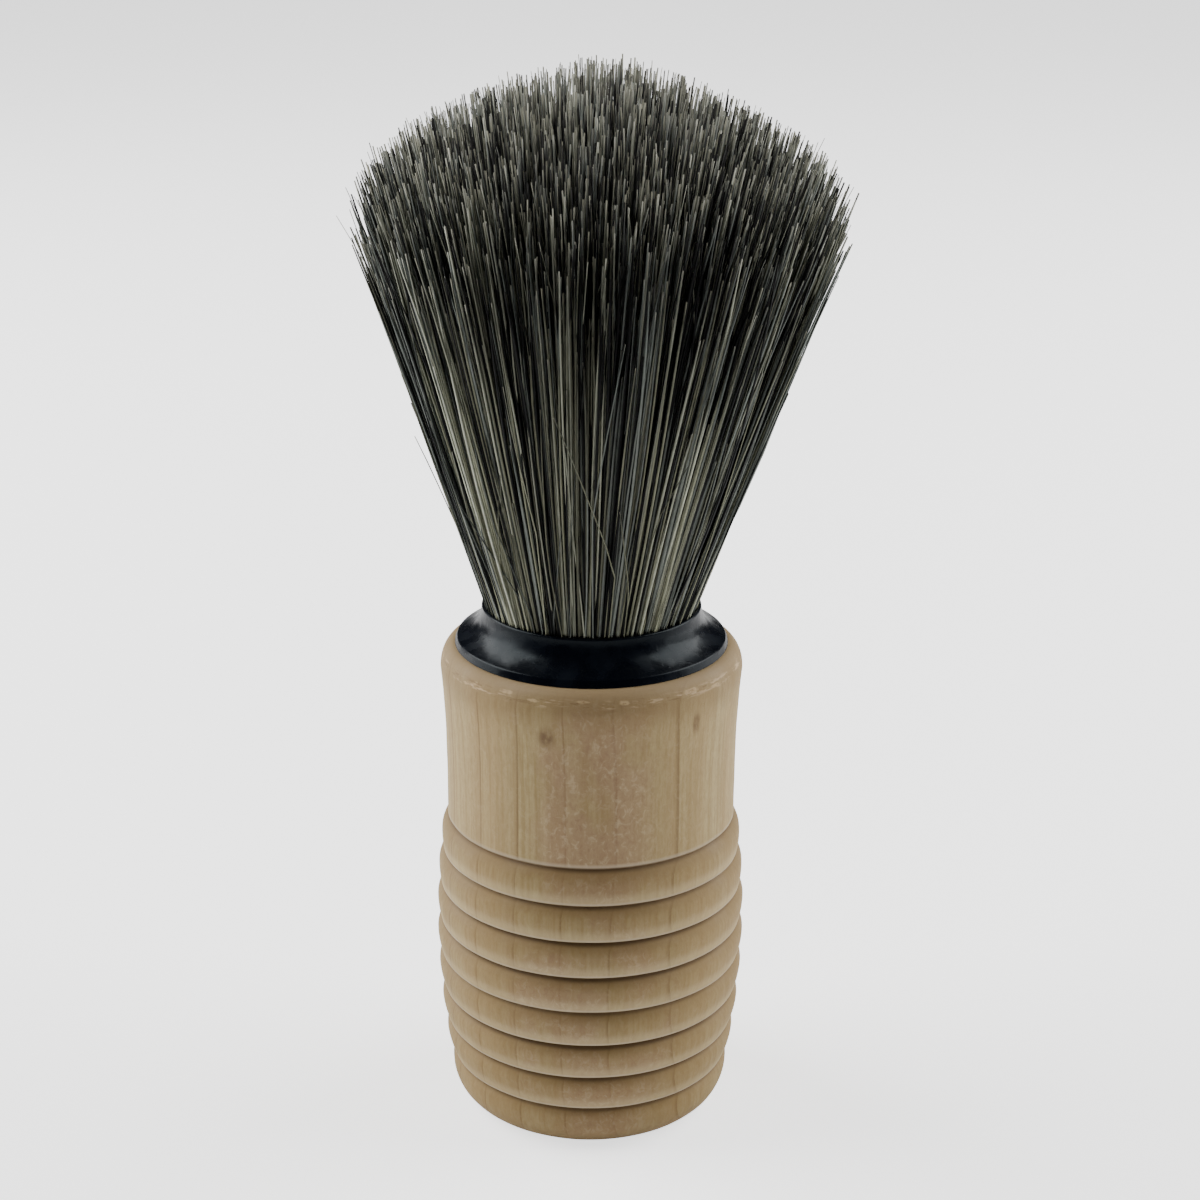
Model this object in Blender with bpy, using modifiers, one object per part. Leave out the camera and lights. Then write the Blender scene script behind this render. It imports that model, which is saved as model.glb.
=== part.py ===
"""Shaving brush: a turned wooden handle and a moulded collar, with a bound bundle of hair set in it in resin.

The brush stands on its base, with the origin at the middle of the base and +Z up along the turning axis.
Every piece is round about that axis, so an outline is a list of (radius, height) points in metres.
"""

import math

import bmesh
import bpy

MM = 0.001
GAP = 0.3 * MM  # what is left between two pieces that touch
TURN_STEPS = 48

# Handle: heights of the turned grooves, and the belly that the rings between them are cut from
RING_COUNT = 8
GROOVE_TOP_Z = 32.08 * MM
GROOVE_PITCH = 3.885 * MM
GROOVE_DEPTH = 0.65 * MM
BELLY_RADIUS = 16.03 * MM
BELLY_Z = 20.0 * MM
BELLY_ARC_RADIUS = 92.6 * MM
RING_CREST_DROP = 1.35 * MM  # from a groove down to the widest line of the ring below it
RING_EDGE_RISE = 0.25 * MM  # from a groove up to the sharp lower edge of the ring above it
RING_EDGE_INSET = 0.33 * MM
RING_SHOULDER = 1 / 3  # how far from groove to crest the shoulder turns
RING_SHOULDER_DEPTH = 0.45  # and at what part of the groove's depth
BASE_RADIUS = 11.4 * MM
BASE_STEPS = 6
WAIST_RADIUS = 14.8 * MM
WAIST_Z = 34.0 * MM
RIM_RADIUS = 15.34 * MM
RIM_Z = 48.4 * MM
SEAT_RADIUS = 13.7 * MM
SEAT_Z = 50.6 * MM
RIM_FLARE_POWER = 2.8
RIM_STEPS = 5
WAIST_STEPS = 5
BORE_RADIUS = 11.9 * MM
BORE_FLOOR_Z = 35.0 * MM

# Collar: a flared skirt on the handle's seat, with a round socket below it for the root of the hair
SKIRT_RADIUS = 13.85 * MM
SKIRT_Z = SEAT_Z + GAP
SKIRT_BAND = 0.75 * MM
SKIRT_BAND_LEAN = 0.2 * MM  # how far the band's top edge stands in from its foot
SKIRT_STEP = 0.1 * MM  # the small rounding at the top of the band, where the flare begins
MOUTH_RADIUS = 11.1 * MM
MOUTH_Z = 54.9 * MM
LIP_EDGE = 0.15 * MM  # rounding at both edges of the thin lip
FLARE_LEAD = 1.6 * MM  # how far the flare's curve still runs upright below the lip, and outward at its foot
FLARE_STEPS = 6
SOCKET_RADIUS = BORE_RADIUS - GAP
SOCKET_INSIDE = 10.7 * MM
SOCKET_FLOOR = 1.2 * MM

# Glue bed on the floor of the bore
GLUE_THICKNESS = 0.6 * MM
GLUE_RADIUS = BORE_RADIUS - 2 * GAP
GLUE_Z = BORE_FLOOR_Z + GAP
SOCKET_Z = GLUE_Z + GLUE_THICKNESS + GAP

# Resin plug: a dish of set resin round the cut ends of the hair
RESIN_Z = SOCKET_Z + SOCKET_FLOOR + GAP
RESIN_RADIUS = SOCKET_INSIDE - GAP
RESIN_BASE = 1.0 * MM
RESIN_WALL_HEIGHT = 3.2 * MM
RESIN_MENISCUS = 0.2 * MM  # how far the resin climbed up the hair above its level at the socket

# Hair: a bound root, a straight cone that fans out from the mouth, and a peaked dome of tips
ROOT_Z = RESIN_Z + RESIN_BASE + GAP
ROOT_RADIUS = 9.4 * MM
NECK_RADIUS = SOCKET_INSIDE - GAP
BINDING_TOP_Z = 46.3 * MM
NECK_Z = 47.8 * MM
FAN_START_Z = 55.5 * MM
FAN_START_RADIUS = 10.95 * MM
FAN_RADIUS = 23.35 * MM
FAN_Z = 90.7 * MM
TIP_SHOULDER_Z = 94.8 * MM
TIP_SHOULDER_LEAD = 7.6 * MM  # how far above the shoulder the dome's curve is still upright
PEAK_Z = 108.5 * MM
PEAK_FALL = 4.0 * MM  # how far below the peak the dome's curve aims at half its radius
DOME_STEPS = 9

# Binding: thread wound round the root
THREAD_RADIUS = 0.28 * MM
THREAD_TURNS = 4
THREAD_PITCH = 0.95 * MM
THREAD_POINTS_PER_TURN = 20
THREAD_START_Z = 42.0 * MM


def clear_scene():
    """Remove whatever the file opened with."""
    for item in list(bpy.data.objects):
        bpy.data.objects.remove(item, do_unlink=True)


def make_collection(name):
    """A new collection in the scene."""
    collection = bpy.data.collections.new(name)
    bpy.context.scene.collection.children.link(collection)
    return collection


def make_material(name, colour, roughness, coat=0.0):
    """A Principled material of one colour; none of the pieces is metal."""
    material = bpy.data.materials.new(name)
    material.use_nodes = True
    shader = material.node_tree.nodes["Principled BSDF"]
    shader.inputs["Base Color"].default_value = (*colour, 1.0)
    shader.inputs["Roughness"].default_value = roughness
    shader.inputs["Metallic"].default_value = 0.0
    shader.inputs["Coat Weight"].default_value = coat
    material.diffuse_color = (*colour, 1.0)
    return material


def bezier(start, lead_out, lead_in, end, count):
    """Points along one cubic curve from start to end, both included."""
    points = []
    for i in range(count + 1):
        t = i / count
        s = 1.0 - t
        weights = (s**3, 3 * s * s * t, 3 * s * t * t, t**3)
        corners = (start, lead_out, lead_in, end)
        points.append(tuple(sum(w * c[k] for w, c in zip(weights, corners)) for k in (0, 1)))
    return points


def turned(name, outline, material, collection):
    """A solid turned from an outline that starts and ends on the axis and runs down its outer side."""
    mesh = bpy.data.meshes.new(name)
    shape = bmesh.new()
    corners = [shape.verts.new((radius, 0.0, height)) for radius, height in outline]
    for upper, lower in zip(corners[:-1], corners[1:]):
        shape.edges.new((upper, lower))
    shape.to_mesh(mesh)
    shape.free()
    piece = bpy.data.objects.new(name, mesh)
    collection.objects.link(piece)
    screw = piece.modifiers.new("turn", "SCREW")
    screw.axis = "Z"
    screw.angle = math.tau
    screw.steps = TURN_STEPS
    screw.render_steps = TURN_STEPS
    screw.use_merge_vertices = True
    screw.merge_threshold = 0.00001
    screw.use_smooth_shade = True
    mesh.materials.append(material)
    return piece


def belly(height):
    """Radius of the shallow arc that the rings' crests lie on."""
    return BELLY_RADIUS - (height - BELLY_Z) ** 2 / (2 * BELLY_ARC_RADIUS)


def ring_outline():
    """The turned rings from the top down: groove, shoulder, crest and sharp edge over the next groove."""
    points = []
    for number in range(RING_COUNT):
        groove_z = GROOVE_TOP_Z - number * GROOVE_PITCH
        crest_z = groove_z - RING_CREST_DROP
        shoulder_z = groove_z - RING_CREST_DROP * RING_SHOULDER
        points.append((belly(groove_z) - GROOVE_DEPTH, groove_z))
        points.append((belly(shoulder_z) - GROOVE_DEPTH * RING_SHOULDER_DEPTH, shoulder_z))
        points.append((belly(crest_z), crest_z))
        if number < RING_COUNT - 1:
            edge_z = groove_z - GROOVE_PITCH + RING_EDGE_RISE
            points.append((belly(edge_z) - RING_EDGE_INSET, edge_z))
    return points


def base_outline(crest):
    """The rounded lower corner, a quarter ellipse from the last ring's crest in to the flat base."""
    crest_radius, crest_z = crest
    points = []
    for i in range(1, BASE_STEPS + 1):
        angle = math.pi / 2 * i / BASE_STEPS
        radius = BASE_RADIUS + (crest_radius - BASE_RADIUS) * math.cos(angle)
        points.append((radius, crest_z * (1.0 - math.sin(angle))))
    return points


def rim_outline():
    """The rounded rim outside the collar, then the hollow waist down to the top groove."""
    points = []
    for i in range(RIM_STEPS + 1):
        angle = math.pi / 2 * (1.0 - i / RIM_STEPS)
        radius = SEAT_RADIUS + (RIM_RADIUS - SEAT_RADIUS) * math.cos(angle)
        points.append((radius, RIM_Z + (SEAT_Z - RIM_Z) * math.sin(angle)))
    edge_z = GROOVE_TOP_Z + RING_EDGE_RISE
    for i in range(1, WAIST_STEPS + 1):
        height = RIM_Z + (edge_z - RIM_Z) * i / WAIST_STEPS
        flare = max(0.0, (height - WAIST_Z) / (RIM_Z - WAIST_Z)) ** RIM_FLARE_POWER
        points.append((WAIST_RADIUS + (RIM_RADIUS - WAIST_RADIUS) * flare, height))
    return points


def build_handle(material, collection):
    """One turned piece of wood with a flat base and a blind bore down from its top."""
    bore = [(0.0, BORE_FLOOR_Z), (BORE_RADIUS, BORE_FLOOR_Z), (BORE_RADIUS, SEAT_Z)]
    rings = ring_outline()
    outline = bore + rim_outline() + rings + base_outline(rings[-1]) + [(0.0, 0.0)]
    return turned("handle", outline, material, collection)


def build_collar(material, collection):
    """The moulded collar: socket, thin lip at the mouth, concave flare and the thin edge of the skirt."""
    band_top = (SKIRT_RADIUS - SKIRT_BAND_LEAN, SKIRT_Z + SKIRT_BAND)
    flare_foot = (band_top[0] - SKIRT_STEP, band_top[1] + SKIRT_STEP)
    flare_top = (MOUTH_RADIUS, MOUTH_Z - 2 * LIP_EDGE)
    upright = (MOUTH_RADIUS + 0.1 * MM, flare_top[1] - FLARE_LEAD)
    level = (flare_foot[0] - FLARE_LEAD * 0.9, flare_foot[1] + FLARE_LEAD * 0.4)
    flare = bezier(flare_top, upright, level, flare_foot, FLARE_STEPS)
    socket_inside_z = SOCKET_Z + SOCKET_FLOOR
    outline = [
        (0.0, socket_inside_z),
        (SOCKET_INSIDE, socket_inside_z),
        (SOCKET_INSIDE, MOUTH_Z - LIP_EDGE),
        (SOCKET_INSIDE + LIP_EDGE / 2, MOUTH_Z),
        (MOUTH_RADIUS - LIP_EDGE / 2, MOUTH_Z),
    ]
    outline += flare
    outline += [
        band_top,
        (SKIRT_RADIUS, SKIRT_Z + SKIRT_BAND / 3),
        (SKIRT_RADIUS, SKIRT_Z),
        (SOCKET_RADIUS, SKIRT_Z),
        (SOCKET_RADIUS, SOCKET_Z),
        (0.0, SOCKET_Z),
    ]
    return turned("collar", outline, material, collection)


def build_glue_bed(material, collection):
    """The thin disc of glue on the floor of the bore, with a rounded edge where it was pressed out."""
    top = GLUE_Z + GLUE_THICKNESS
    edge = GLUE_THICKNESS / 2
    outline = [
        (0.0, top),
        (GLUE_RADIUS - edge, top),
        (GLUE_RADIUS, top - edge),
        (GLUE_RADIUS - edge, GLUE_Z),
        (0.0, GLUE_Z),
    ]
    return turned("glue_bed", outline, material, collection)


def build_resin_plug(material, collection):
    """The dish of hard resin that the cut ends of the hair stand in."""
    inside = ROOT_RADIUS + GAP
    wall_top = RESIN_Z + RESIN_WALL_HEIGHT
    floor_top = RESIN_Z + RESIN_BASE
    outline = [
        (0.0, floor_top),
        (inside, floor_top),
        (inside, wall_top),
        (RESIN_RADIUS, wall_top - RESIN_MENISCUS),
        (RESIN_RADIUS, RESIN_Z),
        (0.0, RESIN_Z),
    ]
    return turned("resin_plug", outline, material, collection)


def build_hair_knot(material, collection):
    """The whole bundle of hair as one solid: dome of tips, fan, neck in the collar's mouth, bound root."""
    dome = bezier(
        (0.0, PEAK_Z),
        (FAN_RADIUS / 2, PEAK_Z - PEAK_FALL),
        (FAN_RADIUS, TIP_SHOULDER_Z + TIP_SHOULDER_LEAD),
        (FAN_RADIUS, TIP_SHOULDER_Z),
        DOME_STEPS,
    )
    outline = dome + [
        (FAN_RADIUS, FAN_Z),
        (FAN_START_RADIUS, FAN_START_Z),
        (NECK_RADIUS, MOUTH_Z - LIP_EDGE),
        (NECK_RADIUS, NECK_Z),
        (ROOT_RADIUS, BINDING_TOP_Z),
        (ROOT_RADIUS, ROOT_Z),
        (0.0, ROOT_Z),
    ]
    return turned("hair_knot", outline, material, collection)


def build_binding_thread(material, collection):
    """The thread round the root, an open helix of a few turns with closed ends."""
    radius = ROOT_RADIUS + GAP + THREAD_RADIUS
    count = THREAD_TURNS * THREAD_POINTS_PER_TURN
    curve = bpy.data.curves.new("binding_thread", "CURVE")
    curve.dimensions = "3D"
    curve.bevel_depth = THREAD_RADIUS
    curve.bevel_resolution = 1
    curve.use_fill_caps = True
    spline = curve.splines.new("POLY")
    spline.points.add(count)
    for i, point in enumerate(spline.points):
        turn = i / THREAD_POINTS_PER_TURN
        angle = math.tau * turn
        height = THREAD_START_Z + THREAD_PITCH * turn
        point.co = (radius * math.cos(angle), radius * math.sin(angle), height, 1.0)
    piece = bpy.data.objects.new("binding_thread", curve)
    curve.materials.append(material)
    collection.objects.link(piece)
    return piece


def group(name, pieces, place, collection):
    """An empty at place that carries the pieces."""
    empty = bpy.data.objects.new(name, None)
    empty.location = place
    collection.objects.link(empty)
    for piece in pieces:
        piece.parent = empty
        piece.location = (-place[0], -place[1], -place[2])
    return empty


def main():
    """Build the brush: a fixed set of glued pieces, and the hair that bends over the collar's mouth."""
    clear_scene()
    collection = make_collection("shaving_brush")
    wood = make_material("pale_wood", (0.47, 0.36, 0.22), 0.6)
    plastic = make_material("black_plastic", (0.006, 0.007, 0.012), 0.12, 0.5)
    hair = make_material("mixed_hair", (0.11, 0.11, 0.085), 0.65)
    thread = make_material("waxed_thread", (0.55, 0.47, 0.33), 0.7)
    resin = make_material("amber_resin", (0.42, 0.24, 0.07), 0.15)
    glue = make_material("white_glue", (0.72, 0.69, 0.6), 0.45)
    fixed = [
        build_handle(wood, collection),
        build_collar(plastic, collection),
        build_glue_bed(glue, collection),
        build_resin_plug(resin, collection),
        build_binding_thread(thread, collection),
    ]
    group("handle_set", fixed, (0.0, 0.0, 0.0), collection)
    moving = [build_hair_knot(hair, collection)]
    group("hair_pivot", moving, (0.0, 0.0, MOUTH_Z), collection)


main()
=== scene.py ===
"""Looks of the shaving brush: turned wood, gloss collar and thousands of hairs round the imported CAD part.

Every size is in metres in the frame of the part: the base stands on z = 0, the turning axis is +Z, and the
front of the brush faces -Y. An outline is a list of (radius, height) points.
"""

import math

import bpy
import numpy as np
from mathutils import Matrix, Vector


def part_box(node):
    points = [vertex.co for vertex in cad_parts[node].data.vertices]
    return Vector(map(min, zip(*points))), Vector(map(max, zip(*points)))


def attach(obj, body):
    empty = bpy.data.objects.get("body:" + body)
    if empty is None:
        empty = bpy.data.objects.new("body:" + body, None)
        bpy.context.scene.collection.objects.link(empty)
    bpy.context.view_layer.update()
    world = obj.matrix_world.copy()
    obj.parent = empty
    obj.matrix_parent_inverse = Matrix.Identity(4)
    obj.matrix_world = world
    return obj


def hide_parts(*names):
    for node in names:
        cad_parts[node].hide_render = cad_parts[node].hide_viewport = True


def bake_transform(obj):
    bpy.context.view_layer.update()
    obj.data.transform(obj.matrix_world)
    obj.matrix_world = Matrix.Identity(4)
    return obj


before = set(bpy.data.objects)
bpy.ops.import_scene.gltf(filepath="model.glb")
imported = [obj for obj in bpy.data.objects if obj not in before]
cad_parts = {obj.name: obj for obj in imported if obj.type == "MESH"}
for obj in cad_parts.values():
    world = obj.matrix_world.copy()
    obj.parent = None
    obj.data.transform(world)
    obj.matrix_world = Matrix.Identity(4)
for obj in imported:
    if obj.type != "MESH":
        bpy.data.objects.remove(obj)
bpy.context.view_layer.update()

MM = 0.001
SEED = 4711
SHARP_ANGLE = math.radians(50)

# Places taken from the CAD part
SEAT_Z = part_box("handle")[1].z
SKIRT_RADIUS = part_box("collar")[1].x
SOCKET_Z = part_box("collar")[0].z
MOUTH_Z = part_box("collar")[1].z
ROOT_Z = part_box("hair_knot")[0].z
KNOT_TOP_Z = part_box("hair_knot")[1].z
FAN_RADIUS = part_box("hair_knot")[1].x

# Handle
HANDLE_STEPS = 256
RING_COUNT = 8
GROOVE_TOP_Z = 32.08 * MM
GROOVE_PITCH = 3.885 * MM
GROOVE_DEPTH = 0.65 * MM
GROOVE_DEPTH_SPREAD = 0.12  # as a share of the depth
GROOVE_PLACE_SPREAD = 0.04 * MM
BELLY_RADIUS = 16.03 * MM
BELLY_Z = 20.0 * MM
BELLY_ARC_RADIUS = 92.6 * MM
RING_CREST_DROP = 1.35 * MM
RING_EDGE_RISE = 0.25 * MM
RING_EDGE_INSET = 0.33 * MM
EDGE_STEP = 0.07 * MM  # how far the wood steps in under a ring's lower edge
# how far the painted highlight along each ring's lower edge reaches
EDGE_HIGHLIGHT_REACH = 0.16 * MM
BASE_RADIUS = 11.4 * MM
WAIST_RADIUS = 14.8 * MM
WAIST_Z = 34.0 * MM
RIM_RADIUS = 15.34 * MM
RIM_Z = 48.4 * MM
RIM_FLARE_POWER = 2.8
SEAT_RADIUS = 13.7 * MM
BORE_RADIUS = 11.9 * MM
BORE_FLOOR_Z = 35.0 * MM
UNDER_POWER = 1.15  # how fast the painted shade under each edge fades towards the next one
BASE_UNDER = 0.42  # the same painted shade on the base, below the last groove
BASE_UNDER_REACH = 1.5 * MM  # the height over which it takes over from the lowest ring's
CHIP_COUNT = 15
CHIP_DEPTH = 0.03 * MM

# Collar
COLLAR_STEPS = 192
GAP = 0.3 * MM
SKIRT_Z = SEAT_Z + GAP
WOOD_TOP_Z = SKIRT_Z - 0.05 * MM  # the wood reaches almost up to the skirt
SKIRT_BAND = 0.75 * MM
SKIRT_BAND_LEAN = 0.2 * MM
FLARE_LEAD = 1.6 * MM
MOUTH_RADIUS = 11.1 * MM
SOCKET_INSIDE = 10.7 * MM
SOCKET_FLOOR = 1.2 * MM

# Hair: a share is a distance from the axis at the mouth, as a share of the bundle's radius there
WHOLE_HAIRS = 8600
FINE_HAIRS = 2600
SHORT_HAIRS = 520
STRAY_HAIRS = 64
ALL_HAIRS = WHOLE_HAIRS + FINE_HAIRS + SHORT_HAIRS + STRAY_HAIRS
FAN_POINTS = 8
HAIR_SIDES = 3
HAIR_WIDTH, HAIR_WIDTH_SPREAD = 0.26 * MM, 0.05 * MM
HAIR_WIDTH_LIMITS = 0.13 * MM, 0.40 * MM
FINE_WIDTH = 0.14 * MM
STRAY_WIDTH = 0.16 * MM
FINE_REACH = 0.93  # the fine hairs' greatest share, so that none is in the outer layer
FROSTED_SHARE, FROSTED_SPREAD = 0.41, 0.10  # black hairs below about this share have pale tips
LOCKS_ROUND, LOCK_LAYERS = 140, 20
LOCK_PULL = 0.35
LOCK_TWIST = 0.37  # how far each layer's locks are turned from the last layer's, in locks
FAN_START_RADIUS = 10.6 * MM
FAN_Z = 92.0 * MM
TIP_SHOULDER_Z = 96.2 * MM
PEAK_Z = KNOT_TOP_Z + 0.8 * MM
DOME_SLOPE = 0.66 * MM  # how far the dome's left edge is lifted, and its right edge lowered
KNOT_LEAN = 0.85 * MM  # how far to the right the whole fan leans at its top
BOUND_RADIUS = 9.2 * MM
TINTS = 64
HAIR_MAP = "OFBake"  # the hairs' UV map, which their fine grain follows


# ---------------------------------------------------------------- camera, floor and light


def make_camera():
    """A camera in front of the brush and above it, looking down at it."""
    place, pitch_down, roll = (0.0, -0.225, 0.134), 0.3344, 0.0043
    data = bpy.data.cameras.new("camera")
    data.sensor_width = 36.0
    data.lens = 70.85
    data.shift_x = 0.0070
    data.shift_y = -0.0060
    data.clip_start = 0.01
    camera = bpy.data.objects.new("camera", data)
    tilt = Matrix.Rotation(math.pi / 2 - pitch_down, 4, "X")
    camera.matrix_world = Matrix.Translation(place) @ tilt @ Matrix.Rotation(roll, 4, "Z")
    bpy.context.scene.collection.objects.link(camera)
    bpy.context.scene.camera = camera


def area_light(name, place, target, size, power):
    """A soft rectangular light at place, turned towards target."""
    data = bpy.data.lights.new(name, "AREA")
    data.shape = "RECTANGLE"
    data.size, data.size_y = size
    data.energy = power
    light = bpy.data.objects.new(name, data)
    light.location = place
    light.rotation_euler = (Vector(target) - Vector(place)).to_track_quat("-Z", "Y").to_euler()
    light.visible_camera = False
    bpy.context.scene.collection.objects.link(light)


def seen_or_lighting(tree, socket, seen, lighting):
    """Give the stage one brightness where it is looked at, and another where it lights the object."""
    path = tree.nodes.new("ShaderNodeLightPath")
    pick = tree.nodes.new("ShaderNodeMapRange")
    pick.inputs["To Min"].default_value = lighting
    pick.inputs["To Max"].default_value = seen
    tree.links.new(path.outputs["Is Camera Ray"], pick.inputs["Value"])
    tree.links.new(pick.outputs[0], socket)


def make_studio():
    """Pale floor, an even grey surround, and soft boxes to both sides with a dark front between them."""
    target = (0.0, 0.0, 0.06)
    high, low = (0.65, 0.55), (0.5, 0.22)
    area_light("side_light_left", (-0.57, 0.15, 0.46), target, high, power=9.0)
    area_light("side_light_right", (0.57, 0.15, 0.46), target, high, power=7.3)
    area_light("low_light_left", (-0.60, 0.12, 0.07), target, low, power=1.2)
    area_light("low_light_right", (0.60, 0.12, 0.07), target, low, power=1.0)
    world = bpy.data.worlds.new("surround")
    world.use_nodes = True
    background = world.node_tree.nodes["Background"]
    background.inputs["Color"].default_value = (0.95, 0.97, 1.0, 1.0)
    seen_or_lighting(world.node_tree, background.inputs["Strength"], seen=1.15, lighting=0.03)
    bpy.context.scene.world = world

    mesh = bpy.data.meshes.new("floor")
    half = 4.0
    corners = [(-half, -half, 0), (half, -half, 0), (half, half, 0), (-half, half, 0)]
    mesh.from_pydata(corners, [], [(0, 1, 2, 3)])
    floor = bpy.data.objects.new("floor", mesh)
    floor.location.z = -0.02 * MM
    bpy.context.scene.collection.objects.link(floor)
    paint = bpy.data.materials.new("floor_paper")
    paint.use_nodes = True
    shader = paint.node_tree.nodes["Principled BSDF"]
    shader.inputs["Base Color"].default_value = (0.86, 0.86, 0.86, 1.0)
    shader.inputs["Roughness"].default_value = 0.9
    shader.inputs["Emission Color"].default_value = (1.0, 1.0, 1.0, 1.0)
    seen_or_lighting(paint.node_tree, shader.inputs["Emission Strength"], seen=1.7, lighting=0.1)
    mesh.materials.append(paint)


# ---------------------------------------------------------------- material helpers


class Paint:
    """A Principled material and short ways to add nodes to it. A socket or a plain value fits every input."""

    def __init__(self, name, **values):
        self.material = bpy.data.materials.new(name)
        self.material.use_nodes = True
        self.tree = self.material.node_tree
        self.shader = self.tree.nodes["Principled BSDF"]
        for socket, value in values.items():
            self.shader.inputs[socket.replace("_", " ")].default_value = value
        self.place = self.node("ShaderNodeTexCoord").outputs["Object"]

    def node(self, kind, inputs=(), **settings):
        """A node with its settings, and its inputs given by name or number."""
        made = self.tree.nodes.new(kind)
        for key, value in settings.items():
            setattr(made, key, value)
        for key, value in dict(inputs).items():
            self.feed(made.inputs[key], value)
        return made

    def feed(self, socket, value):
        """Link a socket to an input, or set the input's plain value."""
        if isinstance(value, bpy.types.NodeSocket):
            self.tree.links.new(value, socket)
        else:
            socket.default_value = value

    def set(self, name, value):
        """Feed one of the shader's own inputs."""
        self.feed(self.shader.inputs[name], value)

    def maths(self, operation, a, b=0.0, c=0.0):
        """One scalar operation."""
        return self.node("ShaderNodeMath", {0: a, 1: b, 2: c}, operation=operation).outputs[0]

    def times(self, a, b):
        """The product of two numbers."""
        return self.maths("MULTIPLY", a, b)

    def coordinate(self, vector, axis):
        """The X, Y or Z of a vector."""
        return self.node("ShaderNodeSeparateXYZ", {0: vector}).outputs[axis]

    def length(self, vector):
        """The length of a vector."""
        return self.node("ShaderNodeVectorMath", {0: vector}, operation="LENGTH").outputs["Value"]

    def scaled(self, scale, shift=(0.0, 0.0, 0.0), turn=(0.0, 0.0, 0.0)):
        """The place stretched by scale, in features per metre along each axis."""
        inputs = {"Vector": self.place, "Scale": scale, "Location": shift, "Rotation": turn}
        return self.node("ShaderNodeMapping", inputs).outputs[0]

    def noise(self, vector, detail=2.0, roughness=0.5, distortion=0.0):
        """Noise from 0 to 1, one feature for each unit of vector."""
        inputs = {"Vector": vector, "Scale": 1.0, "Detail": detail, "Roughness": roughness}
        inputs["Distortion"] = distortion
        return self.node("ShaderNodeTexNoise", inputs).outputs[0]

    def remap(self, value, low, high, to_low=0.0, to_high=1.0):
        """value from low..high eased to to_low..to_high, and no further."""
        inputs = {"Value": value, "From Min": low, "From Max": high, "To Min": to_low, "To Max": to_high}
        return self.node("ShaderNodeMapRange", inputs, interpolation_type="SMOOTHSTEP").outputs[0]

    def mix(self, factor, a, b, blend="MIX"):
        """Colour a blended with colour b by factor."""
        made = self.node("ShaderNodeMix", data_type="RGBA", blend_type=blend)
        self.feed(made.inputs[0], factor)
        self.feed(made.inputs[6], (*a, 1.0) if isinstance(a, tuple) else a)
        self.feed(made.inputs[7], (*b, 1.0) if isinstance(b, tuple) else b)
        return made.outputs[2]

    def attribute(self, name):
        """A number kept on the mesh's points."""
        return self.node("ShaderNodeAttribute", attribute_name=name).outputs["Fac"]

    def spot(self, centre, size):
        """1 near centre, falling to 0 at the edge of an ellipsoid of the given half sizes."""
        inverse = tuple(1.0 / length for length in size)
        shifted = self.node("ShaderNodeVectorMath", {0: self.place, 1: centre}, operation="SUBTRACT")
        inside = self.node("ShaderNodeVectorMath", {0: shifted.outputs[0], 1: inverse}, operation="MULTIPLY")
        return self.remap(self.length(inside.outputs[0]), 1.0, 0.2)

    def bump(self, height, distance, strength=1.0, under=None):
        """A normal raised by height, which runs from 0 to 1, over a distance in metres."""
        made = self.node("ShaderNodeBump", {"Height": height, "Distance": distance, "Strength": strength})
        if under is not None:
            self.feed(made.inputs["Normal"], under)
        return made.outputs[0]


# ---------------------------------------------------------------- materials


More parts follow.
